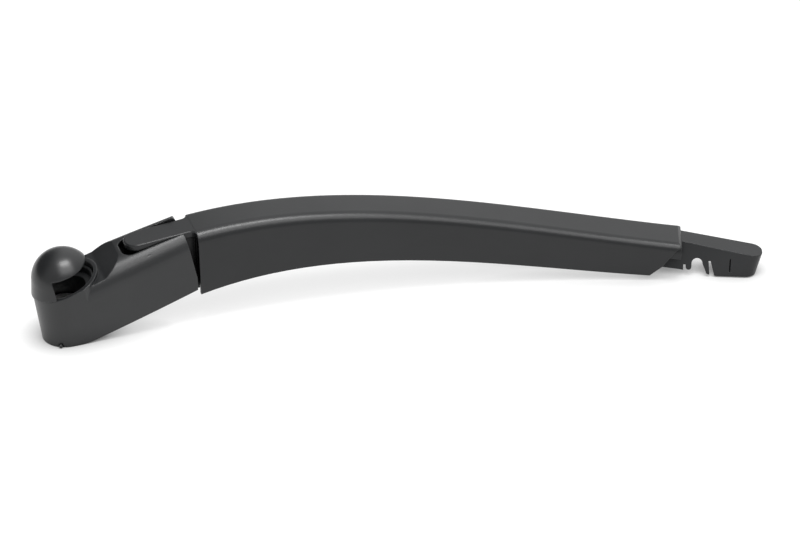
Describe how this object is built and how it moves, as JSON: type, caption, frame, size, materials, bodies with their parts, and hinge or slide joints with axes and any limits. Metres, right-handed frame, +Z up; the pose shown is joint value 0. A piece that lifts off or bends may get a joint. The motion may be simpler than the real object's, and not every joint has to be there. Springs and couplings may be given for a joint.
{
  "type": "rear wiper arm",
  "caption": "Swept, arched wiper arm with a spindle head under a domed nut cap, a sprung fold hinge and a clip-on blade adapter at its tip.",
  "frame": {"origin": "spindle axis in the plane of the head's foot", "axes": "+Z up the spindle, +X from the spindle along the head towards the tip, +Y along the hinge axis"},
  "size_m": [0.3144, 0.0751, 0.0437],
  "materials": {
    "head_plastic": "satin black, fine grain",
    "cap_plastic": "satin black, smooth",
    "arm_plastic": "satin black, fine grain",
    "adapter_plastic": "satin black, fine grain",
    "bush_plastic": "natural, smooth",
    "steel": "zinc plated",
    "spring_steel": "drawn wire"
  },
  "bodies": {
    "head": {"mounting_head": "head_plastic", "spindle_bush": "steel", "hinge_pin": "steel", "link_pin": "steel"},
    "cap": {"nut_cap": "cap_plastic"},
    "arm": {"arm_channel": "arm_plastic", "hinge_bush_near": "bush_plastic", "hinge_bush_far": "bush_plastic", "spring_anchor_pin": "steel", "blade_adapter": "adapter_plastic", "adapter_screw_front": "steel", "adapter_screw_rear": "steel"},
    "spring": {"spring_link": "steel", "pressure_spring": "spring_steel"}
  },
  "joints": [
    {"name": "arm_fold", "type": "hinge", "parent": "head", "child": "arm", "pos_m": [0.036, 0, 0.0345], "axis": [0, -1, 0], "range_deg": [0, 55], "stiffness_Nm_per_rad": 1, "springref_deg": -57.3},
    {"name": "spring_swing", "type": "hinge", "parent": "head", "child": "spring", "pos_m": [0.036, 0, 0.028], "axis": [0, -1, 0], "range_deg": [0, 54]},
    {"name": "cap_lift", "type": "slide", "parent": "head", "child": "cap", "axis": [0, 0, 1], "range_m": [0, 0.03]}
  ],
  "couplings": [
    {"joint": "spring_swing", "follows": "arm_fold", "ratio": 0.9642}
  ]
}
